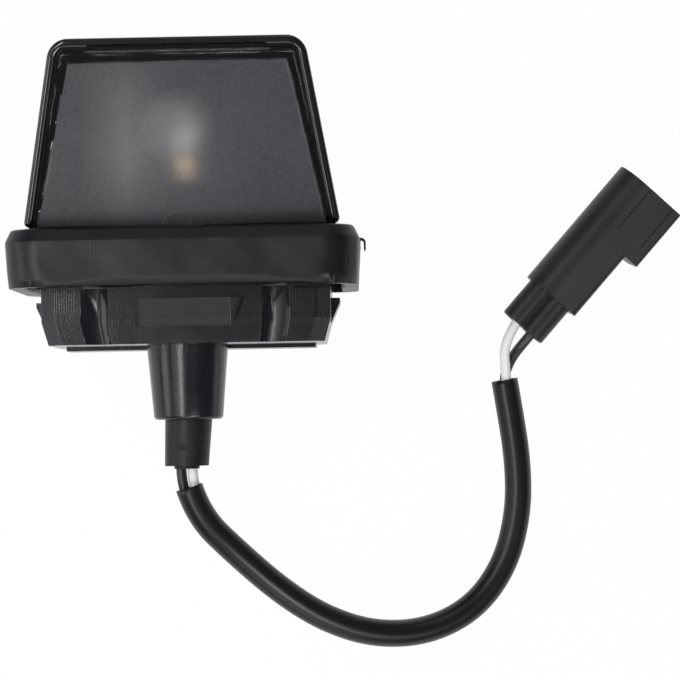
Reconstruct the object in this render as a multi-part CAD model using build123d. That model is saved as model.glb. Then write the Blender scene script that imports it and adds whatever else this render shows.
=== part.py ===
from build123d import *
from math import cos, radians, sin, tan
import os

# Number plate lamp, in millimetres. The panel's outer face is y = 0: the hood stands out along +Y,
# the rear housing and its cable go through the panel along -Y, and the lens faces +Z.

# Clearances
fit = 0.15               # between plastic mouldings and the rubber round them
wire_fit = 0.1           # round a wire in rubber

# Hood, a tapered shell with a rounded bead on three sides of the lens
hood_width = 53.7        # over the bead, at the front of the seal
hood_tip = 41.2
hood_taper = 10.0        # degrees in from the Y axis, each side
hood_wall = 1.9
hood_back_gap = 0.7      # from the plate's edge to the hood's back wall
hood_back_round = 2.0
tip_corner = 3.6
rim_drop = 3.1           # the lens rim starts this far behind the plate's front edge
rim_tilt = 11.7          # degrees, the tip of the lens stands further forward than its root
bead_width = 1.6
bead_overhang = 0.9      # over the hood's wall
bead_depth = 3.2
bead_round = 0.65
bead_gap = 0.4           # from the seal to the bead's ends

# Flange plate at the root of the hood
plate_overhang = 1.35
plate_depth = 36.2
plate_thickness = 3.0
plate_corner = 4.6

# Lens
lens_thickness = 2.0
lens_recess = 1.1        # below the crest of the bead
lens_tab_width = 30.0
lens_tab_reach = 0.6
field_height = 0.55      # frosted field, raised on the glossy plate
field_round = 0.25
field_side = 2.3         # from the bead's outside, at the seal
field_top_side = 3.5     # and at its top corners
field_top = 4.0
field_corner = 0.6

# Rubber seal wrapped round the plate
seal_height = 9.7
seal_lip = 1.8           # rubber between the plate and the panel
seal_wall = 1.1          # rubber outside the plate, at the seat
seal_front_wall = 1.9    # rubber in front of and behind the plate
seal_draft = 4.7         # degrees, on the two ends
seal_corner = 6.0
seal_slope = 2.2         # the front edge slopes back over this height
seal_slope_depth = 1.1
seal_slope_round = 0.8
flash_thickness = 0.3    # thin flap of moulding flash on one end
flash_root = 0.9
flash_reach = 0.7
flash_rise = 0.6
flash_drop = 1.7
flash_length = 4.0
flash_bend = 0.6

# Rear housing
body_x = 0.25            # its outside stands a little off the middle
body_step = 3.6          # from the plate's edge in to the body
body_step_depth = 4.1
body_knee = 5.9          # straight part behind the panel
body_length = 9.85
body_lead = 1.1          # the lower part tapers in by this at its end
body_corner = 2.4
body_edge = 0.35         # round on the corners and groove edges
body_wall = 2.2
spigot_wall = 1.1
spigot_clear = 0.3
groove_outer = 17.4
groove_floor = 14.8
groove_inner = 13.1
groove_depth = 1.2
slot_height = 0.5
slot_drop = 0.45         # the ledge over the slot has square corners
slot_depth = 1.2
panel_gap = 2.3          # from the seat to the lugs
lug_reach = 2.5
lug_length = 4.7
lug_width = 20.2
lug_face_width = 15.6
lug_land = 0.8
lug_toe = 0.35
lug_round = 0.25
side_lug_reach = 1.5
side_lug_length = 4.2
side_lug_depth = 10.0
rear_step = 0.65         # the lower half of the rear face stands out by this
rear_step_z = -2.0
rear_step_side = 1.8
window_margin = 0.3      # the seal's window clears the lugs by this

# Cable outlet and grommet
outlet_x = -0.25         # the outlet stands a little off the middle
outlet_root = 14.1
outlet_end = 11.9
outlet_length = 12.85
outlet_bore = 6.8
outlet_round = 0.7
grommet_root = 8.15
grommet_end = 7.6
grommet_length = 8.0
grommet_plug = 8.0
grommet_collar = 4.4
grommet_collar_length = 0.5
grommet_shift = -0.45    # the grommet leans over by this, with the wires in it
gate_x = -1.05
gate_y = 3.3             # moulding gate, from the grommet's tip
gate_diameter = 1.3
gate_depth = 0.25
gate_pip = 0.4

# Circuit board on the housing's tongue
board_width = 20.0
board_thickness = 1.6
board_front = 33.0
board_rear_gap = 2.0     # from the housing's rear wall
boss_diameter = 5.0
boss_height = 2.0
boss_x = 7.2
boss_rear = 4.0
boss_front = 30.0
tongue_thickness = 1.8
tongue_border = 0.6      # the tongue reaches past the bosses by this
screw_diameter = 2.0
screw_head = 3.6
screw_head_height = 1.2
screw_length = 4.5
screw_hole = 2.3
led_y = 20.7
led_width = 5.0
led_length = 3.6
led_height = 1.9
led_face = 3.0
led_face_depth = 0.7
led_face_sink = 0.1
resistor_gap = 1.7       # from the LED
resistor_width = 3.6
resistor_length = 4.0
resistor_height = 2.4
resistor_round = 0.4
diode_edge = 4.4         # from the board's edge to the middle of the diode
diode_y = 14.5
diode_width = 2.6
diode_length = 4.3
diode_height = 2.2
diode_chamfer = 0.35
capacitor_edge = 3.1     # from the board's other edge
capacitor_pitch = 2.5
capacitor_y = 15.8
capacitor_width = 1.25
capacitor_length = 2.0
capacitor_height = 1.0
solder_width = 1.5
solder_length = 2.0
solder_height = 1.3
solder_round = 0.4

# Wires and sleeve. The table that the lamp lies on is level with the seal's back.
wire_diameter = 1.8
wire_start = -3.0
wire_bend_gap = 0.9      # the wires bend this far past the grommet
sleeve_outer = 4.8
sleeve_inner = 4.1
sleeve_slack = 0.17      # between the wires and the sleeve
arc_share = 0.45
sleeve_route = (
    (-0.4, -34.4, -0.3),
    (1.15, -39.4, -0.6),
    (7.3, -45.7, -2.0),
    (15.0, -52.8, -4.9),
    (22.6, -58.0, -8.0),
    (31.3, -61.1, -11.3),
    (40.7, -60.9, -14.2),
    (49.1, -56.85, -16.3),
    (54.7, -49.3, -17.4),
    (57.15, -40.0, -17.6),
    (57.2, -31.0, -17.6),
    (55.9, -21.6, -17.6),
    (55.1, -16.6, -17.35),
)
wire_twist_start = -15.0     # degrees, the black wire is a little higher at the lamp
wire_twist_step = 30.0   # at each point, until the white wire lies on top
wire_twist_end = 7.0     # degrees more at each of the last two points
white_lead_in = 3.0      # straight stretch into each tower
black_lead_in = 1.8
black_pass = (56.2, -13.0, -17.8)    # the black wire crosses under the white one before this

# Connector, lying on the table at the end of the wires
connector_place = (63.25, -1.87, -14.53)
connector_heading = 48.5
connector_roll = 15.0
shell_round_side = 5.15  # from the wires' middle to the rounded side
shell_latch_side = 4.95
shell_height = 9.2
shell_length = 25.7
shell_round = 4.4        # rounded side
shell_corner = 1.2       # side of the latch
shell_wall = 1.0
mouth_depth = 16.5
latch_reach = 2.67
latch_height = 7.0
crease_width = 0.4       # two fine grooves in the top, beside the latch
crease_depth = 0.2
crease_xs = (0.15, 5.6)
crease_length = 9.0
latch_length = 12.0
latch_corner = 0.6
latch_wall = 0.9
latch_depth = 10.6
latch_overlap = 2.4
tower_pitch = 3.9
tower_diameter = 5.0
tower_length = 7.5
tower_round = 0.4
tower_bore = 3.4
tower_bore_reach = 2.0
terminal_cavity = 2.4
terminal_slack = 0.15
terminal_barrel = 2.2
terminal_barrel_start = -0.5
terminal_body_start = 2.2
blade_start = 8.0
blade_length = 14.0
blade_width = 1.5
blade_thickness = 0.8
blade_point = 0.25
lock_thickness = 1.5
lock_slack = 0.2
seal_plug_start = -6.6
seal_plug_length = 4.2
seal_plug_fit = 0.05

# Values worked out from the sizes above
plate_low = seal_lip
plate_top = plate_low + plate_thickness
hood_slope = tan(radians(hood_taper))
hood_root_half = hood_width / 2 + (seal_height - plate_top) * hood_slope - bead_overhang
plate_width = 2 * (hood_root_half + plate_overhang)
hood_back = hood_back_gap - plate_depth / 2
rim_z = plate_depth / 2 - rim_drop
rim_normal = (0, -sin(radians(rim_tilt)), cos(radians(rim_tilt)))
rim_plane = Plane(origin=(0, seal_height, rim_z), x_dir=(1, 0, 0), z_dir=rim_normal)
hood_crown = rim_z + (hood_tip - seal_height) * tan(radians(rim_tilt)) + bead_depth
lens_inset = bead_width + fit
lens_low = seal_height + fit
body_half = plate_width / 2 - body_step
body_depth = plate_depth - 2 * body_step_depth
body_end = -body_length
rear_wall_inner = body_end + body_wall
cavity_width = 2 * (body_half - body_wall)
cavity_depth = body_depth - 2 * body_wall
spigot_width = cavity_width + 2 * spigot_wall
spigot_depth = cavity_depth + 2 * spigot_wall
outlet_tip = body_end - outlet_length
grommet_tip = outlet_tip - grommet_length
wire_exit = grommet_tip - grommet_collar_length
wire_radius = wire_diameter / 2
wire_x = outlet_x + grommet_shift
wire_spread = sleeve_inner / 2 - wire_radius - sleeve_slack
board_top = -wire_radius - wire_fit
board_low = board_top - board_thickness
board_rear = rear_wall_inner + board_rear_gap
resistor_y = led_y + (led_length + resistor_length) / 2 + resistor_gap
tongue_top = board_low - boss_height
tongue_tip = boss_front + boss_diameter / 2 + tongue_border
tongue_width = 2 * boss_x + boss_diameter + 2 * tongue_border
heading = radians(connector_heading)
roll = radians(connector_roll)
shell_axis = Vector(cos(heading), sin(heading), 0)
shell_side = Vector(sin(heading) * cos(roll), -cos(heading) * cos(roll), -sin(roll))
shell_plane = Plane(origin=connector_place, x_dir=shell_side, z_dir=shell_axis)
mouth_floor = shell_length - mouth_depth
latch_rise = (shell_height - latch_height) / 2    # level with the shell's top
up = (Align.CENTER, Align.CENTER, Align.MIN)
down = (Align.CENTER, Align.CENTER, Align.MAX)


def level(y):
    return Plane.XZ.offset(-y)


def slab(sketch, y_low, y_high):
    # A sketch drawn in X and Z, thickened from one level to another
    return extrude(level(y_low) * sketch, amount=y_low - y_high)


def half_width(y, inset):
    return hood_width / 2 - (y - seal_height) * hood_slope - inset / cos(radians(hood_taper))


def hood_outline(y_low, inset):
    tip = hood_tip - inset
    low, high = half_width(y_low, inset), half_width(tip, inset)
    outline = Polygon((-low, y_low), (low, y_low), (high, tip), (-high, tip), align=None)
    return fillet(outline.vertices().group_by(Axis.Y)[-1], max(tip_corner - inset, fit))


def hood_prism(outline, z_low, top):
    # The outline drawn out along Z from z_low and trimmed at an offset of the tilted rim plane
    prism = extrude(Pos(0, 0, z_low) * outline, amount=hood_crown - z_low)
    return split(prism, bisect_by=rim_plane.offset(top), keep=Keep.BOTTOM)


def lens_blank(clearance, top):
    # Lens plate and its tab, from the ledge in the hood up to an offset of the rim plane
    outline = hood_outline(lens_low + clearance, lens_inset + clearance)
    tab_y = hood_tip - lens_inset - clearance + lens_tab_reach
    tab = Rectangle(lens_tab_width - 2 * clearance, 2 * lens_inset, align=(Align.CENTER, Align.MAX))
    blank = hood_prism(outline + Pos(0, tab_y) * tab, hood_back, top)
    ledge = rim_plane.offset(-lens_recess - lens_thickness)
    return split(blank, bisect_by=ledge, keep=Keep.TOP)


def rim_edges(solid, top):
    # The edges of a solid that lie at an offset of the rim plane
    heights = [(edge, rim_plane.to_local_coords(edge.center()).Z) for edge in solid.edges()]
    return [edge for edge, height in heights if abs(height - top) < fit / 2]


def make_bead():
    inset = bead_width / 2
    low, tip = seal_height + bead_gap + bead_width / 2, hood_tip - inset
    foot, shoulder = half_width(low, inset), half_width(tip, inset)
    path = FilletPolyline(
        (-foot, low), (-shoulder, tip), (shoulder, tip), (foot, low), radius=tip_corner - inset
    )
    band = make_face(offset(path, amount=bead_width / 2, side=Side.BOTH))
    bead = hood_prism(band, hood_back, 0)
    bead = split(bead, bisect_by=rim_plane.offset(-bead_depth), keep=Keep.TOP)
    return fillet(rim_edges(bead, 0), bead_round)


def make_hood():
    shell = hood_prism(hood_outline(plate_low, bead_overhang), hood_back, -lens_recess)
    back_edges = shell.edges().group_by(Axis.Z)[0].filter_by(lambda e: e.center().Y > plate_top)
    shell = fillet(back_edges, hood_back_round)
    plate = slab(RectangleRounded(plate_width, plate_depth, plate_corner), plate_low, plate_top)
    inner = hood_outline(plate_top, bead_overhang + hood_wall)
    cavity = hood_prism(inner, hood_back + hood_wall, -lens_recess - lens_thickness)
    hole = Rectangle(spigot_width + 2 * fit, spigot_depth + 2 * fit)
    window = hood_outline(lens_low + hood_wall, bead_overhang + hood_wall)
    opening = hood_prism(window, hood_back + hood_wall, hood_wall)
    hood = shell + plate + make_bead()
    return hood - cavity - opening - slab(hole, plate_low, plate_top) - lens_blank(0, bead_depth)


def make_lens():
    low, top = lens_low + fit, hood_tip - field_top
    wide, narrow = half_width(low, field_side), half_width(top, field_top_side)
    field = Polygon((-wide, low), (wide, low), (narrow, top), (-narrow, top), align=None)
    field = fillet(field.vertices().group_by(Axis.Y)[-1], field_corner)
    raised = split(
        hood_prism(field, hood_back, field_height - lens_recess),
        bisect_by=rim_plane.offset(-lens_recess - lens_thickness),
        keep=Keep.TOP,
    )
    raised = fillet(rim_edges(raised, field_height - lens_recess), field_round)
    return lens_blank(fit, -lens_recess) + raised


def make_flange_seal():
    back_width = plate_width + 2 * (seal_wall + fit)
    depth = plate_depth + 2 * seal_front_wall
    shoulder = seal_height - seal_slope
    wide = back_width + 2 * shoulder * tan(radians(seal_draft))
    front = (wide - 2 * seal_slope_depth, depth - 2 * seal_slope_depth, seal_corner - seal_slope_depth)
    seal = loft(
        [
            level(0) * RectangleRounded(back_width, depth, seal_corner),
            level(shoulder) * RectangleRounded(wide, depth, seal_corner),
            level(seal_height) * RectangleRounded(*front),
        ],
        ruled=True,
    )
    seal = fillet(seal.edges().filter_by(lambda e: e.center().Y > shoulder - fit), seal_slope_round)
    pocket = RectangleRounded(plate_width + 2 * fit, plate_depth + 2 * fit, plate_corner + fit)
    window = Pos(body_x, 0) * Rectangle(
        2 * (body_half + side_lug_reach + window_margin), body_depth + 2 * (lug_reach + window_margin)
    )
    opening = hood_prism(hood_outline(plate_low, bead_overhang - fit), hood_back - fit, fit - lens_recess)
    seal = seal - slab(pocket, plate_low, plate_top) - slab(window, 0, plate_low) - opening
    # A flap of moulding flash hangs from the front edge of one end
    edge = Vector(wide / 2 - flash_root, shoulder + flash_rise)
    bend = edge + Vector(flash_root + flash_reach, -flash_thickness)
    flap = FilletPolyline(edge, bend, bend - Vector(0, flash_drop), radius=flash_bend)
    skin = make_face(offset(flap, amount=flash_thickness / 2, side=Side.BOTH))
    return seal + extrude(skin, amount=flash_length / 2, both=True)


def body_section(shrink):
    half, depth = body_half * shrink, body_depth * shrink
    outline = Rectangle(2 * half, depth)
    outline = chamfer(outline.vertices(), body_corner)
    face = depth / 2
    for side in (-1, 1):
        groove = Polygon(
            (side * groove_outer * shrink, face),
            (side * groove_outer * shrink, face - groove_depth),
            (side * groove_floor * shrink, face - groove_depth),
            (side * groove_inner * shrink, face),
            align=None,
        )
        outline = outline - groove
    return Pos(body_x, 0) * fillet(outline.vertices(), body_edge)


def lug_section(base, reach):
    face = body_depth / 2
    return Polygon(
        (-base / 2, face - body_wall),
        (base / 2, face - body_wall),
        (base / 2, face),
        (lug_face_width / 2, face + reach),
        (-lug_face_width / 2, face + reach),
        (-base / 2, face),
        align=None,
    )


def snap_lug():
    # Cheeks and ramp run out together towards the rear
    root = level(-panel_gap) * lug_section(lug_width, lug_reach)
    toe = level(-panel_gap - lug_length) * lug_section(lug_face_width + 2 * lug_toe, lug_toe)
    lug = loft([root, toe], ruled=True)
    ridges = lug.edges().filter_by(lambda e: e.center().Z > body_depth / 2 + fit)
    ridges = ridges.filter_by(lambda e: -panel_gap - lug_length + fit < e.center().Y < -panel_gap - fit)
    return Pos(body_x, 0) * fillet(ridges, lug_round)


def side_lug(side):
    profile = Polygon(
        (side * (body_half - body_wall), -panel_gap),
        (side * (body_half + side_lug_reach), -panel_gap),
        (side * (body_half + side_lug_reach), -panel_gap - lug_land),
        (side * body_half, -panel_gap - side_lug_length),
        (side * (body_half - body_wall), -panel_gap - side_lug_length),
        align=None,
    )
    return Pos(body_x, 0) * extrude(profile, amount=side_lug_depth / 2, both=True)


def make_rear_housing():
    shrink = (body_half - body_lead) / body_half
    upper = slab(body_section(1), -body_knee, plate_low)
    lower = loft([level(-body_knee) * body_section(1), level(body_end) * body_section(shrink)], ruled=True)
    spigot_top = plate_top - spigot_clear
    ledge = slab(Pos(body_x, 0) * Rectangle(2 * body_half, body_depth), -slot_drop, plate_low)
    body = upper + lower + ledge + slab(Rectangle(spigot_width, spigot_depth), plate_low, spigot_top)
    lead_cavity = Rectangle(cavity_width - 2 * body_lead, cavity_depth - 2 * body_lead)
    body = body - slab(Rectangle(cavity_width, cavity_depth), -body_knee, spigot_top)
    body = body - slab(lead_cavity, rear_wall_inner, -body_knee)
    for side in (-1, 1):
        corner = Pos(body_x + side * body_half, -slot_drop - slot_height / 2, body_depth / 2)
        body = body - corner * Box(2 * (body_half - groove_outer - slot_depth), slot_height, 2 * slot_depth)
        body = body + side_lug(side)
    cone = [(0, rear_wall_inner), (outlet_root / 2, rear_wall_inner), (outlet_root / 2, body_end)]
    cone = cone + [(outlet_end / 2, outlet_tip), (0, outlet_tip)]
    outlet = Pos(outlet_x, 0) * revolve(Polygon(*cone, align=None), Axis.Y)
    outlet = fillet(outlet.edges().group_by(Axis.Y)[0], outlet_round)
    step_floor = -body_depth * shrink / 2 + body_corner
    step = Rectangle(2 * (body_half - body_lead - rear_step_side), rear_step_z - step_floor)
    step = Pos(body_x, (rear_step_z + step_floor) / 2) * step
    body = body + slab(step, body_end - rear_step, rear_wall_inner) + snap_lug() + outlet
    body = body - slab(Pos(outlet_x, 0) * Circle(outlet_bore / 2), outlet_tip, rear_wall_inner)
    # The tongue reaches into the hood and carries the board on four bosses
    tongue = Pos(0, rear_wall_inner, tongue_top) * Box(
        tongue_width,
        tongue_tip - rear_wall_inner,
        tongue_thickness,
        align=(Align.CENTER, Align.MIN, Align.MAX),
    )
    body = body + tongue
    for x, y in boss_places():
        body = body + Pos(x, y, tongue_top) * Cylinder(boss_diameter / 2, boss_height, align=up)
    for x, y in screw_places():
        body = body - Pos(x, y, board_low) * Cylinder(screw_diameter / 2 + fit, screw_length, align=down)
    return body


def boss_places():
    return [(side * boss_x, y) for side in (-1, 1) for y in (boss_rear, boss_front)]


def screw_places():
    return [(side * boss_x, boss_rear) for side in (-1, 1)]


def make_led_board():
    board = Pos(0, board_rear, board_low) * Box(
        board_width, board_front - board_rear, board_thickness, align=(Align.CENTER, Align.MIN, Align.MIN)
    )
    for x, y in screw_places():
        board = board - Pos(x, y, board_low) * Cylinder(screw_hole / 2, board_thickness, align=up)
    return board


def make_board_screws():
    shank_length = screw_length - screw_head_height
    screws = []
    for x, y in screw_places():
        shank = Pos(x, y, board_top) * Cylinder(screw_diameter / 2, shank_length, align=down)
        head = Pos(x, y, board_top) * Cylinder(screw_head / 2, screw_head_height, align=up)
        screws.append(shank + chamfer(head.edges().group_by(Axis.Z)[-1], screw_head_height / 3))
    return Compound(screws)


def make_led_package():
    package = Pos(0, led_y, board_top) * Box(led_width, led_length, led_height, align=up)
    well = Pos(0, led_y, board_top + led_height) * Cylinder(led_face / 2, led_face_depth, align=down)
    return package - well


def make_led_phosphor():
    floor = board_top + led_height - led_face_depth
    return Pos(0, led_y, floor) * Cylinder(led_face / 2, led_face_depth - led_face_sink, align=up)


def make_series_resistor():
    block = Box(resistor_width, resistor_length, resistor_height, align=up)
    block = fillet(block.edges().group_by(Axis.Z)[-1], resistor_round)
    return Pos(0, resistor_y, board_top) * block


def make_protection_diode():
    block = Box(diode_width, diode_length, diode_height, align=up)
    block = chamfer(block.edges().group_by(Axis.Z)[-1], diode_chamfer)
    return Pos(board_width / 2 - diode_edge, diode_y, board_top) * block


def make_chip_capacitors():
    chips = []
    for place in (0, 1):
        x = capacitor_edge + place * capacitor_pitch - board_width / 2
        chip = Box(capacitor_width, capacitor_length, capacitor_height, align=up)
        chips.append(Pos(x, capacitor_y, board_top) * chip)
    return Compound(chips)


def make_solder_joints():
    joints = []
    for side in (-1, 1):
        blob = Box(solder_width, solder_length, solder_height, align=(Align.CENTER, Align.MIN, Align.MIN))
        blob = fillet(blob.edges().group_by(Axis.Z)[-1], solder_round)
        joints.append(Pos(wire_x + side * wire_spread, wire_start, board_top) * blob)
    return Compound(joints)


def make_cable_grommet():
    lean = Pos(grommet_shift, 0)
    plug_end = outlet_tip + grommet_plug
    plug = slab(Circle(outlet_bore / 2 - wire_fit), outlet_tip, plug_end)
    root = level(outlet_tip) * Circle(grommet_root / 2)
    cone = loft([root, level(grommet_tip) * lean * Circle(grommet_end / 2)], ruled=True)
    collar = slab(lean * Circle(grommet_collar / 2), wire_exit, grommet_tip)
    slot = lean * SlotCenterToCenter(2 * wire_spread, wire_diameter + 2 * wire_fit)
    grommet = plug + cone + collar - slab(slot, wire_exit, plug_end)
    gate = Pos(gate_x, grommet_tip + gate_y, grommet_end / 2 - gate_depth)
    grommet = grommet - gate * Cylinder(gate_diameter / 2, grommet_end, align=up)
    return Pos(outlet_x, 0) * (grommet + gate * Cylinder(gate_pip / 2, gate_depth, align=up))


def side_of(route, index):
    # Level direction to the left of a route at a point, lengthened for the turn there
    before = Vector(route[max(index, 1)]) - Vector(route[max(index, 1) - 1])
    after_index = min(index, len(route) - 2)
    after = Vector(route[after_index + 1]) - Vector(route[after_index])
    normals = [Vector(-run.Y, run.X, 0).normalized() for run in (before, after)]
    middle = (normals[0] + normals[1]).normalized()
    return middle * (1 / middle.dot(normals[0]))


def wire_twist(index):
    end_points = max(0, index - len(sleeve_route) + 3)
    return min(90, wire_twist_start + wire_twist_step * index) + wire_twist_end * end_points


def wire_route(hand):
    # The white wire has hand 1 and the black wire -1: side by side at the lamp, white on top further on
    start = wire_x + hand * wire_spread
    points = [(start, wire_start, 0), (start, wire_exit - wire_bend_gap, 0)]
    for index, point in enumerate(sleeve_route):
        turn = radians(wire_twist(index))
        offset_by = side_of(sleeve_route, index) * cos(turn) + Vector(0, 0, sin(turn))
        points.append(tuple(Vector(point) + offset_by * (hand * wire_spread)))
    if hand < 0:
        points.append(black_pass)
    lead_in = white_lead_in if hand > 0 else black_lead_in
    across = -hand * tower_pitch / 2
    points.append(tuple(shell_point(across, -tower_length - lead_in)))
    points.append(tuple(shell_point(across, terminal_barrel_start)))
    return points


def shell_point(across, along):
    return Vector(connector_place) + shell_side * across + shell_axis * along


def cord_radii(name, points):
    # The largest arc at each corner that leaves a tenth of the shorter run straight
    radii = []
    for before, corner, after in zip(points, points[1:], points[2:]):
        run_in = Vector(corner) - Vector(before)
        run_out = Vector(after) - Vector(corner)
        half_turn = radians(run_in.get_angle(run_out) / 2)
        radii.append(arc_share * min(run_in.length, run_out.length) / tan(half_turn))
    print(name, "bend radii", [round(radius, 1) for radius in radii])
    return radii


def cord_tube(name, points, section):
    path = FilletPolyline(*points, radius=cord_radii(name, points))
    start = Vector(points[1]) - Vector(points[0])
    tube = sweep(Plane(origin=points[0], z_dir=start) * section, path=path)
    ratio = tube.volume / (section.area * path.length)
    print(name, "length", round(path.length, 1), "volume over section times length", round(ratio, 4))
    return tube


def on_shell(solid):
    return shell_plane.location * solid


def shell_block(sketch, start, end):
    # A sketch across the connector, drawn out along its axis
    return extrude(Pos(0, 0, start) * sketch, amount=end - start)


def cavity_places():
    return [side * tower_pitch / 2 for side in (-1, 1)]


def shell_outline(inset):
    width = shell_round_side + shell_latch_side - 2 * inset
    outline = Pos((shell_latch_side - shell_round_side) / 2, 0) * Rectangle(width, shell_height - 2 * inset)
    outline = fillet(outline.vertices().group_by(Axis.X)[0], shell_round - inset)
    return fillet(outline.vertices().group_by(Axis.X)[-1], max(shell_corner - inset, fit))


def make_connector_shell():
    # On the shell's plane, Y points down
    shell = shell_block(shell_outline(0), 0, shell_length)
    latch_start = shell_length - latch_length
    latch_edge = shell_latch_side + latch_reach
    latch_width = latch_reach + latch_overlap
    latch = RectangleRounded(latch_width, latch_height, latch_corner, align=(Align.MAX, Align.CENTER))
    shell = shell + shell_block(Pos(latch_edge, -latch_rise) * latch, latch_start, shell_length)
    for x in cavity_places():
        tower = shell_block(Pos(x, 0) * Circle(tower_diameter / 2), -tower_length, shell_wall)
        shell = shell + fillet(tower.edges().group_by(Axis.Z)[0], tower_round)
    channel = Rectangle(latch_width, latch_height - 2 * latch_wall, align=(Align.MAX, Align.CENTER))
    shell = shell - shell_block(shell_outline(shell_wall), mouth_floor, shell_length)
    channel_start = shell_length - latch_depth
    channel = Pos(latch_edge - latch_wall, -latch_rise) * channel
    shell = shell - shell_block(channel, channel_start, shell_length)
    for x in crease_xs:
        crease = Pos(x, -shell_height / 2) * Rectangle(crease_width, 2 * crease_depth)
        shell = shell - shell_block(crease, shell_length - crease_length, shell_length)
    for x in cavity_places():
        shell = shell - shell_block(Pos(x, 0) * Circle(tower_bore / 2), -tower_length, tower_bore_reach)
        cavity = Rectangle(terminal_cavity, terminal_cavity)
        shell = shell - shell_block(Pos(x, 0) * cavity, tower_bore_reach, mouth_floor)
    return on_shell(shell)


def make_terminal_pins():
    body = terminal_cavity - 2 * terminal_slack
    pins = []
    for x in cavity_places():
        at = Pos(x, 0)
        barrel = shell_block(at * Circle(terminal_barrel / 2), terminal_barrel_start, terminal_body_start)
        block = shell_block(at * Rectangle(body, body), terminal_body_start, blade_start)
        strip = at * Rectangle(blade_width, blade_thickness)
        blade = shell_block(strip, blade_start, blade_start + blade_length)
        blade = chamfer(blade.edges().group_by(Axis.Z)[-1], blade_point)
        pins.append(barrel + block + blade)
    return on_shell(Compound(pins))


def make_terminal_lock():
    plate = shell_outline(shell_wall + lock_slack)
    for x in cavity_places():
        plate = plate - Pos(x, 0) * Rectangle(blade_width + 2 * lock_slack, blade_thickness + 2 * lock_slack)
    return on_shell(shell_block(plate, mouth_floor, mouth_floor + lock_thickness))


def make_wire_seals():
    ring = Circle(tower_bore / 2 - seal_plug_fit) - Circle(wire_radius + seal_plug_fit)
    plugs = []
    for x in cavity_places():
        plugs.append(shell_block(Pos(x, 0) * ring, seal_plug_start, seal_plug_start + seal_plug_length))
    return on_shell(Compound(plugs))


sleeve_ring = Circle(sleeve_outer / 2) - Circle(sleeve_inner / 2)
nodes = {
    "hood": make_hood(),
    "lens": make_lens(),
    "flange_seal": make_flange_seal(),
    "rear_housing": make_rear_housing(),
    "led_board": make_led_board(),
    "board_screws": make_board_screws(),
    "led_package": make_led_package(),
    "led_phosphor": make_led_phosphor(),
    "series_resistor": make_series_resistor(),
    "protection_diode": make_protection_diode(),
    "chip_capacitors": make_chip_capacitors(),
    "solder_joints": make_solder_joints(),
    "cable_grommet": make_cable_grommet(),
    "wire_black": cord_tube("wire_black", wire_route(-1), Circle(wire_radius)),
    "wire_white": cord_tube("wire_white", wire_route(1), Circle(wire_radius)),
    "cable_sleeve": cord_tube("cable_sleeve", sleeve_route, sleeve_ring),
    "connector_shell": make_connector_shell(),
    "terminal_pins": make_terminal_pins(),
    "terminal_lock": make_terminal_lock(),
    "wire_seals": make_wire_seals(),
}
os.makedirs("parts", exist_ok=True)
for name, solid in nodes.items():
    export_step(solid, os.path.join("parts", name + ".step"))
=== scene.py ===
import math
import bpy
import bmesh
from mathutils import Matrix, Vector


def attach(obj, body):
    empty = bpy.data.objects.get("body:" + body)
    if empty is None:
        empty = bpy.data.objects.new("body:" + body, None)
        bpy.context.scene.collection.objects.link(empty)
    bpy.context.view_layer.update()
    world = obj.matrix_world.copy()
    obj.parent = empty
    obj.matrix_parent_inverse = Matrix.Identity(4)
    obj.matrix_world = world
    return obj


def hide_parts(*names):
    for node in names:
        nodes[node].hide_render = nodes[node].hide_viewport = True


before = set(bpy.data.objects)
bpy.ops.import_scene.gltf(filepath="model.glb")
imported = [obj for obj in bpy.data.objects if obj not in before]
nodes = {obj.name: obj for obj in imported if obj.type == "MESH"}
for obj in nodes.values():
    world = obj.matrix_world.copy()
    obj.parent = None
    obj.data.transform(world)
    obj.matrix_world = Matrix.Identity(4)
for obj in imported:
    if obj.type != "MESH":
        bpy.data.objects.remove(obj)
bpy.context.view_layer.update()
scene = bpy.context.scene
scene.view_settings.view_transform = "Standard"
mm = 0.001
print("frame loaded,", len(nodes), "nodes")

# camera: nearly straight down on the lamp, which is turned a touch in the picture
cameraSet = {
    "place": (33.30, -24.78, 556.0), "aim": (-0.01337, 0.02736), "roll": 1.05,
    "lens": 170.26, "sensor": 36, "clipStart": 0.01, "clipEnd": 20,
}


def makeCamera():
    turn = math.radians(cameraSet["roll"])
    right = Vector((math.cos(turn), -math.sin(turn), 0))
    up = Vector((math.sin(turn), math.cos(turn), 0))
    down = Vector((0, 0, -1))
    ahead = (right * cameraSet["aim"][0] + up * cameraSet["aim"][1] + down).normalized()
    side = (right - ahead * right.dot(ahead)).normalized()
    above = side.cross(ahead)
    camera = bpy.data.objects.new("camera", bpy.data.cameras.new("camera"))
    camera.matrix_world = Matrix((side, above, -ahead)).transposed().to_4x4()
    camera.location = Vector(cameraSet["place"]) * mm
    camera.data.lens = cameraSet["lens"]
    camera.data.sensor_width = cameraSet["sensor"]
    camera.data.clip_start = cameraSet["clipStart"]
    camera.data.clip_end = cameraSet["clipEnd"]
    scene.collection.objects.link(camera)
    scene.camera = camera


makeCamera()
print("camera placed")

# node helpers
noiseMiddle = 0.5


def addNode(tree, kind, **values):
    node = tree.nodes.new(kind)
    for key, value in values.items():
        setattr(node, key, value)
    return node


def setSockets(node, **values):
    for key, value in values.items():
        node.inputs[key.replace("_", " ")].default_value = value


def calc(tree, operation, *values):
    node = addNode(tree, "ShaderNodeMath", operation=operation)
    for socket, value in zip(node.inputs, values):
        if isinstance(value, (int, float)):
            socket.default_value = value
        else:
            tree.links.new(value, socket)
    return node.outputs[0]


def product(tree, first, *others):
    for other in others:
        first = calc(tree, "MULTIPLY", first, other)
    return first


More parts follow.
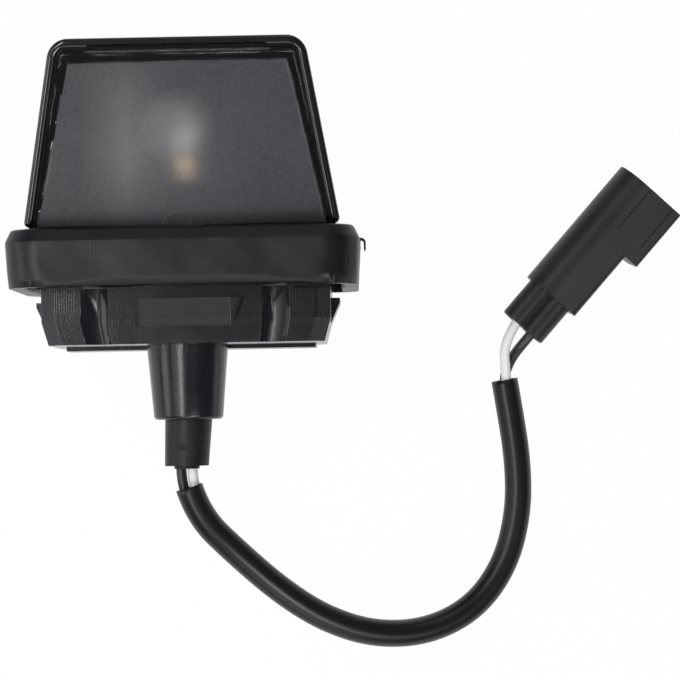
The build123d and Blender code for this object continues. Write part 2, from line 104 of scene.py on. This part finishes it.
def ramp(tree, value, start, end):
    # 0 at start, 1 at end
    node = addNode(tree, "ShaderNodeMapRange", clamp=True)
    setSockets(node, From_Min=start, From_Max=end)
    tree.links.new(value, node.inputs["Value"])
    return node.outputs[0]


def nearLine(tree, value, middle, outer, inner=0.0):
    # 1 within inner of the middle, fading to 0 at outer
    off = calc(tree, "ABSOLUTE", calc(tree, "SUBTRACT", value, middle))
    return ramp(tree, off, outer, inner)


def distance(tree, x, y, centre):
    across = calc(tree, "SUBTRACT", x, centre[0])
    along = calc(tree, "SUBTRACT", y, centre[1])
    squares = calc(tree, "ADD", product(tree, across, across), product(tree, along, along))
    return calc(tree, "SQRT", squares)


def blendColour(tree, factor, first, second):
    node = addNode(tree, "ShaderNodeMix", data_type="RGBA")
    tree.links.new(factor, node.inputs["Factor"])
    for socket, value in ((node.inputs["A"], first), (node.inputs["B"], second)):
        if isinstance(value, (tuple, list)):
            socket.default_value = (*value[:3], 1)
        else:
            tree.links.new(value, socket)
    return node.outputs["Result"]


def noise(tree, place, scale, detail=2.0):
    node = addNode(tree, "ShaderNodeTexNoise")
    setSockets(node, Scale=scale, Detail=detail)
    tree.links.new(place, node.inputs["Vector"])
    return node.outputs["Fac"]


def placeOnPiece(tree):
    place = addNode(tree, "ShaderNodeTexCoord").outputs["Object"]
    split = addNode(tree, "ShaderNodeSeparateXYZ")
    tree.links.new(place, split.inputs[0])
    return place, split.outputs["X"], split.outputs["Y"]


def addBump(tree, height, strength, depth):
    node = addNode(tree, "ShaderNodeBump")
    setSockets(node, Strength=strength, Distance=depth)
    tree.links.new(height, node.inputs["Height"])
    return node


def newMaterial(name):
    material = bpy.data.materials.new(name)
    material.use_nodes = True
    return material, material.node_tree


# moulded skin: slow unevenness, fine grain and a few dust specks
skinSet = {
    "inputs": ("Grain Scale", "Patch Scale", "Roughness", "Spread", "Dust"),
    "outputs": ("Roughness", "Height", "Specks", "Tone"),
    "grainDetail": 3.0, "grainRoughness": 0.6, "patchDetail": 4.0, "patchRoughness": 0.55,
    "speckScale": 420.0, "speckEdge": (0.07, 0.04), "toneRange": (0.3, 0.7),
}
plainLook = {    # what a finish has where it says nothing else
    "grain": 2500.0, "patch": 120.0, "spread": 0.1, "tone": 0.15, "dust": 0.05, "dustLift": 0.06,
    "bump": 0.1, "bumpDepth": 0.00005, "metallic": 0.0, "specular": 0.5,
}


def makeMouldedSkin():
    tree = bpy.data.node_groups.new("mouldedSkin", "ShaderNodeTree")
    for way, labels in (("INPUT", skinSet["inputs"]), ("OUTPUT", skinSet["outputs"])):
        for label in labels:
            tree.interface.new_socket(label, in_out=way, socket_type="NodeSocketFloat")
    source = addNode(tree, "NodeGroupInput")
    sink = addNode(tree, "NodeGroupOutput")
    place = addNode(tree, "ShaderNodeTexCoord").outputs["Object"]
    grain = addNode(tree, "ShaderNodeTexNoise")
    patch = addNode(tree, "ShaderNodeTexNoise")
    speck = addNode(tree, "ShaderNodeTexVoronoi")
    setSockets(grain, Detail=skinSet["grainDetail"], Roughness=skinSet["grainRoughness"])
    setSockets(patch, Detail=skinSet["patchDetail"], Roughness=skinSet["patchRoughness"])
    setSockets(speck, Scale=skinSet["speckScale"])
    for node in (grain, patch, speck):
        tree.links.new(place, node.inputs["Vector"])
    tree.links.new(source.outputs["Grain Scale"], grain.inputs["Scale"])
    tree.links.new(source.outputs["Patch Scale"], patch.inputs["Scale"])
    centred = calc(tree, "SUBTRACT", patch.outputs["Fac"], noiseMiddle)
    rough = calc(tree, "MULTIPLY_ADD", centred,
                 source.outputs["Spread"], source.outputs["Roughness"])
    near = ramp(tree, speck.outputs["Distance"], *skinSet["speckEdge"])
    chosen = calc(tree, "LESS_THAN", speck.outputs["Color"], source.outputs["Dust"])
    tone = ramp(tree, patch.outputs["Fac"], *skinSet["toneRange"])
    tree.links.new(rough, sink.inputs["Roughness"])
    tree.links.new(grain.outputs["Fac"], sink.inputs["Height"])
    tree.links.new(product(tree, near, chosen), sink.inputs["Specks"])
    tree.links.new(tone, sink.inputs["Tone"])
    return tree


mouldedSkin = makeMouldedSkin()


def addRelief(tree, height, relief):
    # ribs, fine rings, a band of coarser grain or a parting seam, placed on the piece
    place, x, y = placeOnPiece(tree)
    lines = []
    if "ribs" in relief:
        ribs = relief["ribs"]
        side = calc(tree, "ABSOLUTE", x)
        wave = calc(tree, "SINE", calc(tree, "MULTIPLY", x, 2 * math.pi / ribs["pitch"]))
        lines.append(product(
            tree, wave, calc(tree, "GREATER_THAN", side, ribs["from"]),
            calc(tree, "LESS_THAN", side, ribs["to"]),
            calc(tree, "GREATER_THAN", y, ribs["low"]), ribs["depth"]))
    if "rings" in relief:
        rings = relief["rings"]
        flat = addNode(tree, "ShaderNodeVectorMath", operation="MULTIPLY")
        flat.inputs[1].default_value = (rings["squeeze"], 1, rings["squeeze"])
        tree.links.new(place, flat.inputs[0])
        wave = noise(tree, flat.outputs["Vector"], rings["scale"])
        lines.append(product(
            tree, wave, calc(tree, "LESS_THAN", y, rings["top"]), rings["depth"]))
    if "band" in relief:
        band = relief["band"]
        near = nearLine(tree, y, band["at"], band["half"])
        lines.append(product(tree, noise(tree, place, band["scale"]), near, band["depth"]))
    if "seam" in relief:
        seam = relief["seam"]
        lines.append(product(tree, nearLine(tree, x, seam["at"], seam["half"]), seam["depth"]))
    for line in lines:
        height = calc(tree, "ADD", height, line)
    return height


def mouldedMaterial(name, look):
    look = {**plainLook, **look}
    material, tree = newMaterial(name)
    shader = tree.nodes["Principled BSDF"]
    skin = addNode(tree, "ShaderNodeGroup", node_tree=mouldedSkin)
    setSockets(skin, Grain_Scale=look["grain"], Patch_Scale=look["patch"],
               Roughness=look["roughness"], Spread=look["spread"], Dust=look["dust"])
    dim, pale = [[value * share for value in look["colour"]]
                 for share in (1 - look["tone"], 1 + look["tone"])]
    dusty = [min(1, value + look["dustLift"]) for value in look["colour"]]
    colour = blendColour(tree, skin.outputs["Tone"], dim, pale)
    colour = blendColour(tree, skin.outputs["Specks"], colour, look.get("dustColour", dusty))
    height = skin.outputs["Height"]
    if "relief" in look:
        height = addRelief(tree, height, look["relief"])
    bump = addBump(tree, height, look["bump"], look["bumpDepth"])
    tree.links.new(colour, shader.inputs["Base Color"])
    tree.links.new(skin.outputs["Roughness"], shader.inputs["Roughness"])
    tree.links.new(bump.outputs["Normal"], shader.inputs["Normal"])
    setSockets(shader, Metallic=look["metallic"], Specular_IOR_Level=look["specular"])
    # painted glow: emission on a part that is no lamp
    if "glow" in look:
        setSockets(shader, Emission_Color=(*look["glow"], 1),
                   Emission_Strength=look["glowStrength"])
    return material


def dress(name, material):
    piece = nodes[name]
    piece.data.materials.clear()
    piece.data.materials.append(material)


# finishes of the pieces that keep their CAD mesh
finishes = {
    "hood": {
        "colour": (0.006, 0.006, 0.0075), "roughness": 0.12, "spread": 0.06, "bump": 0.08,
        "specular": 0.55},
    "cable_grommet": {
        "colour": (0.008, 0.008, 0.0095), "roughness": 0.42, "spread": 0.3, "bump": 0.5,
        "bumpDepth": 0.0001, "grain": 1200.0, "specular": 0.3, "tone": 0.3},
    "connector_shell": {
        "colour": (0.026, 0.026, 0.028), "roughness": 0.38, "spread": 0.2, "bump": 0.25,
        "bumpDepth": 0.0001, "grain": 1800.0, "specular": 0.24},
    "led_board": {"colour": (0.012, 0.013, 0.015), "roughness": 0.4},
    "board_screws": {"colour": (0.5, 0.5, 0.52), "roughness": 0.35, "metallic": 1.0},
    "led_package": {"colour": (0.9, 0.88, 0.82), "roughness": 0.45, "tone": 0.03},
    # the phosphor has a painted glow, though the LED is unlit
    "led_phosphor": {
        "colour": (0.95, 0.66, 0.2), "roughness": 0.4, "tone": 0.04,
        "glow": (1.0, 0.74, 0.32), "glowStrength": 1.1},
    "series_resistor": {"colour": (0.93, 0.93, 0.91), "roughness": 0.55, "tone": 0.03},
    "protection_diode": {"colour": (0.02, 0.02, 0.02), "roughness": 0.5},
    "chip_capacitors": {"colour": (0.09, 0.07, 0.05), "roughness": 0.45},
    "solder_joints": {"colour": (0.62, 0.62, 0.63), "roughness": 0.25, "metallic": 1.0},
    "terminal_pins": {"colour": (0.66, 0.64, 0.6), "roughness": 0.28, "metallic": 1.0},
    "terminal_lock": {"colour": (0.03, 0.03, 0.032), "roughness": 0.45},
    "wire_seals": {"colour": (0.02, 0.02, 0.02), "roughness": 0.55},
}
for name, look in finishes.items():
    dress(name, mouldedMaterial(name + "Finish", look))
print("finishes on", len(finishes), "nodes")

# copies of CAD meshes, in metres
copySet = {"merge": 1e-6, "snap": 1e-7, "sliver": 2e-6}


def copyNode(name):
    shape = bmesh.new()
    shape.from_mesh(nodes[name].data)
    bmesh.ops.remove_doubles(shape, verts=shape.verts, dist=copySet["merge"])
    return shape


def sliceShape(shape, along, place):
    everything = shape.verts[:] + shape.edges[:] + shape.faces[:]
    bmesh.ops.bisect_plane(shape, geom=everything, dist=copySet["snap"],
                           plane_co=Vector(along) * place, plane_no=along)


def finishPiece(shape, name, node, settings, isSmooth):
    mesh = bpy.data.meshes.new(name)
    shape.to_mesh(mesh)
    shape.free()
    mesh.set_sharp_from_angle(angle=math.radians(settings["sharp"]))    # resets the smooth flags
    for face in mesh.polygons:
        face.use_smooth = isSmooth([mesh.vertices[index].co / mm for index in face.vertices])
    mesh.materials.append(mouldedMaterial(name + "Finish", settings["look"]))
    piece = bpy.data.objects.new(name, mesh)
    scene.collection.objects.link(piece)
    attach(piece, "root")
    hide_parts(node)
    print(name, "made,", len(mesh.polygons), "faces")


# housing: its two face grooves are made hollow curves, as the picture's shading shows them
housingSet = {
    "middle": 0.25, "knee": -5.9, "end": -9.85, "shrink": 0.954,    # taper towards the cable
    "face": 14.0, "floor": 12.8, "inner": 12.9, "valley": 14.8, "rim": 17.7, "curve": 1.6,
    "cuts": (13.3, 13.8, 14.3, 15.3, 15.8, 16.3, 16.8), "lowCuts": (-7.2, -8.5),
    "underFloor": 0.2, "underFace": 0.01, "pastRim": 0.1, "outletTop": -10.1, "sharp": 65,
    "look": {
        "colour": (0.009, 0.009, 0.0125), "roughness": 0.22, "spread": 0.2, "bump": 0.22,
        "bumpDepth": 0.0001, "specular": 0.46, "tone": 0.25,
        "relief": {
            "ribs": {"from": 0.0184, "to": 0.0229, "low": -0.0046, "pitch": 0.00042,
                     "depth": 0.16},
            "rings": {"top": -0.0095, "scale": 2600.0, "squeeze": 0.03, "depth": 0.5},
            "band": {"at": -0.0058, "half": 0.0008, "scale": 2400.0, "depth": 1.5},
        }},
}


def onSection(point):
    # distance from the middle and height, before the housing's taper
    share = (point.y - housingSet["knee"]) / (housingSet["end"] - housingSet["knee"])
    scale = 1 - (1 - housingSet["shrink"]) * min(1, max(0, share))
    return abs(point.x - housingSet["middle"]) / scale, point.z / scale, scale


def roundedHousing(corners):
    # the outlet and the grooves are smooth, the rest is flat
    if max(point.y for point in corners) < housingSet["outletTop"]:
        return True
    outermost = housingSet["rim"] + housingSet["pastRim"]
    lowest = housingSet["floor"] - housingSet["underFloor"]
    return all(housingSet["inner"] < across < outermost and height > lowest
               for across, height, scale in map(onSection, corners))


def makeHousing():
    shape = copyNode("rear_housing")
    for cut in housingSet["cuts"]:
        for side in (-1, 1):
            sliceShape(shape, (1, 0, 0), (housingSet["middle"] + side * cut) * mm)
    for cut in housingSet["lowCuts"]:
        sliceShape(shape, (0, 1, 0), cut * mm)
    bmesh.ops.triangulate(shape, faces=shape.faces)
    face, floor, valley = [housingSet[key] for key in ("face", "floor", "valley")]
    lowest, highest = floor - housingSet["underFloor"], face - housingSet["underFace"]
    for vert in shape.verts:
        across, height, scale = onSection(vert.co / mm)
        inside = across < valley
        edge = housingSet["inner"] if inside else housingSet["rim"]
        share = (across - valley) / (edge - valley)
        curved = face - (face - floor) * (1 - share ** housingSet["curve"])
        if share < 1 and lowest < height < highest:
            vert.co.z = (curved if inside else max(curved, height)) * scale * mm
    bmesh.ops.dissolve_degenerate(shape, dist=copySet["sliver"], edges=shape.edges)
    finishPiece(shape, "housingShell", "rear_housing",
                housingSet, roundedHousing)


makeHousing()

# seal: the moulded rubber frame, a little uneven and with slack ends
sealSet = {
    "slice": (2.4, 1.6, 2.4), "sway": 0.13, "sharp": 35,
    "waves": (    # size, turns along x, y and z, start
        (1.0, (0.23, 0.4, 0.0), 0.7),
        (1.0, (0.41, 0.0, -0.19), 2.1),
        (0.6, (0.83, 0.9, 0.35), 0.0),
    ),
    "slackLeft": 0.22, "slackRight": 0.42, "slackFrom": 20.0, "slackGain": 2.0,
    "slackDepth": 2.0, "end": 30.0,
    "pocketHalf": 28.0, "pocketTop": 5.4, "pocketRise": 18.48, "restZ": -17.0, "seatTurn": -0.7,
    "look": {
        "colour": (0.0075, 0.0075, 0.0095), "roughness": 0.4, "spread": 0.28, "patch": 110.0,
        "bumpDepth": 0.0001, "grain": 3600.0, "specular": 0.32, "tone": 0.25,
        "relief": {"seam": {"at": -0.0149, "half": 0.00014, "depth": 1.2}}},
}


def sealSway(point):
    total = 0
    for size, turns, start in sealSet["waves"]:
        angle = sum(turn * value for turn, value in zip(turns, point)) + start
        total += size * math.sin(angle)
    return total / sum(size for size, turns, start in sealSet["waves"])


def softAllOver(corners):
    return True


def makeSeal():
    shape = copyNode("flange_seal")
    for axis, step in enumerate(sealSet["slice"]):
        along = [float(index == axis) for index in range(3)]
        reach = [vert.co[axis] for vert in shape.verts]
        low, high = min(reach), max(reach)
        for cut in range(1, int((high - low) / mm / step) + 1):
            sliceShape(shape, along, low + cut * step * mm)
    bmesh.ops.triangulate(shape, faces=shape.faces)
    shape.normal_update()
    moves = []
    for vert in shape.verts:
        x, y, z = vert.co / mm
        outside = (abs(x) > sealSet["pocketHalf"] or y > sealSet["pocketTop"]
                   or z > sealSet["pocketRise"])
        seat = vert.normal.y < sealSet["seatTurn"] or z < sealSet["restZ"]
        sway = sealSway((x, y, z)) * sealSet["sway"] if outside and not seat else 0
        move = vert.normal * sway
        slack = (abs(x) - sealSet["slackFrom"]) / (sealSet["end"] - sealSet["slackFrom"])
        if slack > 0 and y < sealSet["slackDepth"]:
            amount = sealSet["slackRight"] if x > 0 else sealSet["slackLeft"]
            amount *= min(1, sealSet["slackGain"] * slack)
            move = move - Vector((0, amount * (1 - max(0, y) / sealSet["slackDepth"]), 0))
        moves.append(move * mm)
    for vert, move in zip(shape.verts, moves):
        vert.co += move
    finishPiece(shape, "sealRubber", "flange_seal", sealSet, softAllOver)


makeSeal()

# lens: clear plastic with a glossy border, edge lines painted white as highlights, and a frosted
# field of uneven milkiness with a painted band of light, a painted glow round the LED and
# painted shade near the root
lensSet = {
    "transmission": 0.952, "ior": 1.4, "borderRoughness": 0.05, "fieldRoughness": 0.42,
    # the white line colour is a painted highlight along the field edge, the weld, the tab and a
    # ring mark
    "borderColour": (0.06, 0.062, 0.07), "paintedHighlightColour": (1.0, 1.0, 1.0),
    "milkDim": (0.215, 0.215, 0.295), "milkBright": (0.97, 0.97, 1.0),
    "cloudScale": 55.0, "cloudDetail": 3.0, "cloudGain": 0.36,
    "frostScale": 1500.0, "frostGain": 0.5,
    # painted light: a soft band and a glow round the LED; below it, painted shade near the root
    "paintedStreak": {"x": -0.0092, "half": 0.0078, "y": 0.023, "reach": 0.019, "gain": 0.9},
    "paintedHalo": {"place": (-0.0003, 0.0262), "radius": 0.0068, "gain": 1.3},
    "rootShadeFrom": 0.0095, "rootShadeTo": 0.0175, "rootShadeKeep": 0.55,
    "halfAtRoot": 0.0266728, "taper": 0.22112, "slantLength": 1.0242, "top": 0.0372,
    "wander": 0.00025, "wanderScale": 260.0, "fieldEdge": 0.00006,
    "edgeLine": (0.0003, 0.00008), "breakScale": 180.0, "breakRange": (0.36, 0.6),
    "weldAt": 0.00135, "weldLine": (0.0002, 0.00006),
    "tabY": 0.03905, "tabHalf": 0.0156, "tabLine": (0.00018, 0.00006),
    "markPlace": (-0.0008, 0.0098), "markRadius": 0.0024, "markLine": (0.0002, 0.00006),
    "markShare": 0.5,
    "grainScale": 1800.0, "grainBump": (0.3, 0.00004), "lineBump": (0.8, 0.0001),
}


def lensMasks(tree, place, x, y):
    side = calc(tree, "ABSOLUTE", x)
    slant = calc(tree, "MULTIPLY_ADD", y, lensSet["taper"], side)
    wander = noise(tree, place, lensSet["wanderScale"])
    ragged = calc(tree, "MULTIPLY_ADD", wander, lensSet["wander"], slant)
    pastSide = calc(tree, "DIVIDE", calc(tree, "SUBTRACT", ragged, lensSet["halfAtRoot"]),
                    lensSet["slantLength"])
    past = calc(tree, "MAXIMUM", pastSide, calc(tree, "SUBTRACT", y, lensSet["top"]))
    field = ramp(tree, past, lensSet["fieldEdge"], -lensSet["fieldEdge"])
    broken = ramp(tree, noise(tree, place, lensSet["breakScale"]), *lensSet["breakRange"])
    edge = nearLine(tree, past, 0.0, *lensSet["edgeLine"])
    weld = nearLine(tree, past, lensSet["weldAt"], *lensSet["weldLine"])
    tab = product(tree, nearLine(tree, y, lensSet["tabY"], *lensSet["tabLine"]),
                  calc(tree, "LESS_THAN", side, lensSet["tabHalf"]))
    fromMark = distance(tree, x, y, lensSet["markPlace"])
    mark = product(tree, nearLine(tree, fromMark, lensSet["markRadius"], *lensSet["markLine"]),
                   lensSet["markShare"])
    # edge, weld, tab and ring lines: painted highlights where these edges catch the light, also
    # raised as a bump ridge
    lines = product(tree, calc(tree, "MAXIMUM", edge, weld), broken)
    lines = calc(tree, "MAXIMUM", calc(tree, "MAXIMUM", lines, tab), mark)
    return field, lines


def lensMilkAndLight(tree, place, x, y):
    # clouds and fine frost, a painted band of light, a painted glow round the LED, and painted
    # shade near the root (less milkiness there)
    paintedStreak, paintedHalo = lensSet["paintedStreak"], lensSet["paintedHalo"]
    paintedLight = product(tree, nearLine(tree, x, paintedStreak["x"], paintedStreak["half"]),
                     nearLine(tree, y, paintedStreak["y"], paintedStreak["reach"]))
    paintedHaloLight = ramp(tree, distance(tree, x, y, paintedHalo["place"]), paintedHalo["radius"], 0.0)
    clouds = noise(tree, place, lensSet["cloudScale"], lensSet["cloudDetail"])
    frost = calc(tree, "SUBTRACT", noise(tree, place, lensSet["frostScale"]), noiseMiddle)
    milkAndLight = calc(tree, "MULTIPLY", clouds, lensSet["cloudGain"])
    milkAndLight = calc(tree, "MULTIPLY_ADD", frost, lensSet["frostGain"], milkAndLight)
    milkAndLight = calc(tree, "MULTIPLY_ADD", paintedHaloLight, paintedHalo["gain"], milkAndLight)
    milkAndLight = calc(tree, "MULTIPLY_ADD", paintedLight, paintedStreak["gain"], milkAndLight)
    # painted shade: the field is darker towards the root
    low = calc(tree, "MULTIPLY_ADD", ramp(tree, y, lensSet["rootShadeFrom"], lensSet["rootShadeTo"]),
               1 - lensSet["rootShadeKeep"], lensSet["rootShadeKeep"])
    return product(tree, milkAndLight, low)


def makeLens():
    material, tree = newMaterial("lensFinish")
    shader = tree.nodes["Principled BSDF"]
    place, x, y = placeOnPiece(tree)
    field, lines = lensMasks(tree, place, x, y)
    fieldMilkAndLight = blendColour(tree, lensMilkAndLight(tree, place, x, y),
                        lensSet["milkDim"], lensSet["milkBright"])
    colour = blendColour(tree, field, lensSet["borderColour"], fieldMilkAndLight)
    # painted highlight lines
    colour = blendColour(tree, lines, colour, lensSet["paintedHighlightColour"])
    rough = calc(tree, "MULTIPLY_ADD", field,
                 lensSet["fieldRoughness"] - lensSet["borderRoughness"],
                 lensSet["borderRoughness"])
    grain = product(tree, noise(tree, place, lensSet["grainScale"]), field)
    bump = addBump(tree, grain, *lensSet["grainBump"])
    ridge = addBump(tree, lines, *lensSet["lineBump"])
    tree.links.new(bump.outputs["Normal"], ridge.inputs["Normal"])
    tree.links.new(colour, shader.inputs["Base Color"])
    tree.links.new(rough, shader.inputs["Roughness"])
    tree.links.new(ridge.outputs["Normal"], shader.inputs["Normal"])
    setSockets(shader, IOR=lensSet["ior"], Transmission_Weight=lensSet["transmission"])
    dress("lens", material)


makeLens()
print("lens done")

# cable: two wires and the sleeve over them, on smooth curves
cableSet = {
    "sleeve": [
        (-0.4, -34.4, -0.3), (1.15, -39.4, -0.6), (7.3, -45.7, -2.0), (15.0, -52.8, -4.9),
        (22.6, -58.0, -8.0), (31.3, -61.1, -11.3), (40.7, -60.9, -14.2), (49.1, -56.85, -16.3),
        (54.7, -49.3, -17.4), (57.15, -40.0, -17.6), (57.2, -31.0, -17.6), (55.9, -21.6, -17.6),
        (55.1, -16.6, -17.35),
    ],
    "black": [
        (-1.68, -3.0, 0.0), (-1.68, -29.2, 0.0), (-1.68, -32.1, 0.0), (-1.3, -34.68, -0.05),
        (0.31, -39.9, -0.85), (6.82, -46.2, -2.69), (14.84, -53.0, -5.85), (22.6, -58.0, -8.98),
        (31.3, -61.1, -12.28), (40.7, -60.9, -15.18), (49.1, -56.85, -17.28),
        (54.7, -49.3, -18.38), (57.15, -40.0, -18.58), (57.2, -31.0, -18.58),
        (55.78, -21.62, -18.57), (54.87, -16.64, -18.3), (56.2, -13.0, -17.8),
        (58.5, -10.08, -15.03), (64.33, -3.49, -15.03),
    ],
    "white": [
        (0.28, -3.0, 0.0), (0.28, -29.2, 0.0), (0.28, -32.1, 0.0), (0.5, -34.12, -0.55),
        (1.99, -38.9, -0.35), (7.78, -45.2, -1.31), (15.16, -52.6, -3.95), (22.6, -58.0, -7.02),
        (31.3, -61.1, -10.32), (40.7, -60.9, -13.22), (49.1, -56.85, -15.32),
        (54.7, -49.3, -16.42), (57.15, -40.0, -16.62), (57.2, -31.0, -16.62),
        (56.02, -21.58, -16.63), (55.33, -16.56, -16.4), (54.88, -8.49, -14.03),
        (61.51, -1.0, -14.03),
    ],
    "wireDiameter": 1.8, "sleeveDiameter": 4.8, "sleeveWall": 0.35, "exitY": -31.2,
    "roundSteps": 6, "runSteps": 10,
    "sleeveLook": {
        "colour": (0.010, 0.010, 0.0115), "roughness": 0.32, "spread": 0.12, "bump": 0.2,
        "patch": 60.0, "specular": 0.36},
    "blackLook": {"colour": (0.014, 0.014, 0.014), "roughness": 0.34, "bump": 0.08},
    "whiteLook": {
        "colour": (0.82, 0.83, 0.83), "roughness": 0.38, "bump": 0.06, "tone": 0.03,
        "dustColour": (0.5, 0.49, 0.47)},
}


def makeCurve(name, points, diameter, material):
    data = bpy.data.curves.new(name, "CURVE")
    data.dimensions = "3D"
    data.bevel_depth = 1    # the points' radius is the tube's
    data.bevel_resolution = cableSet["roundSteps"]
    data.resolution_u = cableSet["runSteps"]
    spline = data.splines.new("NURBS")
    spline.points.add(len(points) - 1)
    for slot, point in zip(spline.points, points):
        slot.co = (*[value * mm for value in point], 1)
        slot.radius = diameter * mm / 2
    spline.order_u = 3
    spline.use_endpoint_u = True
    data.materials.append(material)
    piece = bpy.data.objects.new(name, data)
    scene.collection.objects.link(piece)
    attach(piece, "root")
    return piece


def makeSleeve():
    look = mouldedMaterial("sleeveFinish", cableSet["sleeveLook"])
    sleeve = makeCurve("sleeveTube", cableSet["sleeve"], cableSet["sleeveDiameter"], look)
    wall = sleeve.modifiers.new("wall", "SOLIDIFY")    # cut tubing, open at both ends
    wall.thickness = cableSet["sleeveWall"] * mm
    wall.offset = -1
    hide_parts("cable_sleeve")


def makeWire(colour, node):
    look = mouldedMaterial(colour + "WireFinish", cableSet[colour + "Look"])
    points = cableSet[colour]
    wire = makeCurve(colour + "Wire", points, cableSet["wireDiameter"], look)
    wire.data.use_fill_caps = True
    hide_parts(node)


makeSleeve()
makeWire("black", "wire_black")
makeWire("white", "wire_white")
print("sleeve and wires laid")

# floor and light: a white floor, a dim tent with soft brighter patches, three lamps on the left
stageSet = {
    "floorZ": -20.0, "floorGap": 0.02, "floorHalf": 3.0, "floorShare": 0.98,
    "floorColour": (0.85, 0.85, 0.85, 1), "tent": 0.09,
    "patches": [    # towards, sharpness, strength
        ((-0.22, -0.06, 0.97), 40.0, 0.6),
        ((-0.94, 0.0, 0.34), 8.0, 0.2),
        ((0.28, -0.54, 0.79), 80.0, 14.0),
        ((-0.1, -0.9, 0.42), 30.0, 2.5),
        ((0.1, 0.8, 0.6), 40.0, 1.4),
    ],
    "overhead": {
        "place": (-0.17, -0.02, 0.26), "target": (0.0, 0.0, 0.0), "size": (0.25, 0.12),
        "power": 0.13},
    "strip": {
        "place": (-0.132, -0.03, 0.40), "target": (0.0, -0.03, 0.0), "size": (0.5, 0.036),
        "power": 0.8},
    "side": {
        "place": (-0.13, -0.005, 0.055), "target": (-0.01, -0.005, 0.01), "size": (0.12, 0.05),
        "power": 0.045},
}


def floorMaterial():
    # plain white where it is looked at, matt where it catches the shadow
    material, tree = newMaterial("floorWhite")
    tree.nodes.clear()
    out = addNode(tree, "ShaderNodeOutputMaterial")
    matt = addNode(tree, "ShaderNodeBsdfDiffuse")
    glow = addNode(tree, "ShaderNodeEmission")
    mix = addNode(tree, "ShaderNodeMixShader")
    rays = addNode(tree, "ShaderNodeLightPath").outputs
    matt.inputs["Color"].default_value = stageSet["floorColour"]
    seen = calc(tree, "MAXIMUM", rays["Is Camera Ray"], rays["Is Glossy Ray"])
    seen = calc(tree, "MAXIMUM", seen, rays["Is Transmission Ray"])
    share = calc(tree, "MULTIPLY", seen, stageSet["floorShare"])
    tree.links.new(share, mix.inputs["Fac"])
    tree.links.new(matt.outputs[0], mix.inputs[1])
    tree.links.new(glow.outputs[0], mix.inputs[2])
    tree.links.new(mix.outputs[0], out.inputs["Surface"])
    return material


def makeFloor():
    mesh = bpy.data.meshes.new("floor")
    shape = bmesh.new()
    bmesh.ops.create_grid(shape, x_segments=1, y_segments=1, size=stageSet["floorHalf"])
    drop = (stageSet["floorZ"] - stageSet["floorGap"]) * mm
    bmesh.ops.translate(shape, verts=shape.verts, vec=(0, 0, drop))
    shape.to_mesh(mesh)
    shape.free()
    mesh.materials.append(floorMaterial())
    floor = bpy.data.objects.new("floor", mesh)
    scene.collection.objects.link(floor)


def makeWorld():
    world = bpy.data.worlds.new("tent")
    world.use_nodes = True
    scene.world = world
    tree = world.node_tree
    ground = tree.nodes["Background"]
    ground.inputs["Color"].default_value = (1, 1, 1, 1)
    outward = addNode(tree, "ShaderNodeTexCoord").outputs["Generated"]
    level = stageSet["tent"]
    for towards, sharpness, strength in stageSet["patches"]:
        near = addNode(tree, "ShaderNodeVectorMath", operation="DOT_PRODUCT")
        near.inputs[1].default_value = Vector(towards).normalized()
        tree.links.new(outward, near.inputs[0])
        ahead = calc(tree, "MAXIMUM", near.outputs["Value"], 0.0)
        soft = calc(tree, "POWER", ahead, sharpness)
        level = calc(tree, "MULTIPLY_ADD", soft, strength, level)
    tree.links.new(level, ground.inputs["Strength"])


def makeLamp(name):
    look = stageSet[name]
    data = bpy.data.lights.new(name, "AREA")
    data.shape = "RECTANGLE"
    data.size, data.size_y = look["size"]
    data.energy = look["power"]
    lamp = bpy.data.objects.new(name, data)
    lamp.location = look["place"]
    lamp.rotation_mode = "QUATERNION"
    towards = Vector(look["target"]) - Vector(look["place"])
    lamp.rotation_quaternion = towards.to_track_quat("-Z", "Y")
    scene.collection.objects.link(lamp)


makeFloor()
makeWorld()
for name in ("overhead", "strip", "side"):
    makeLamp(name)
print("stage lit")
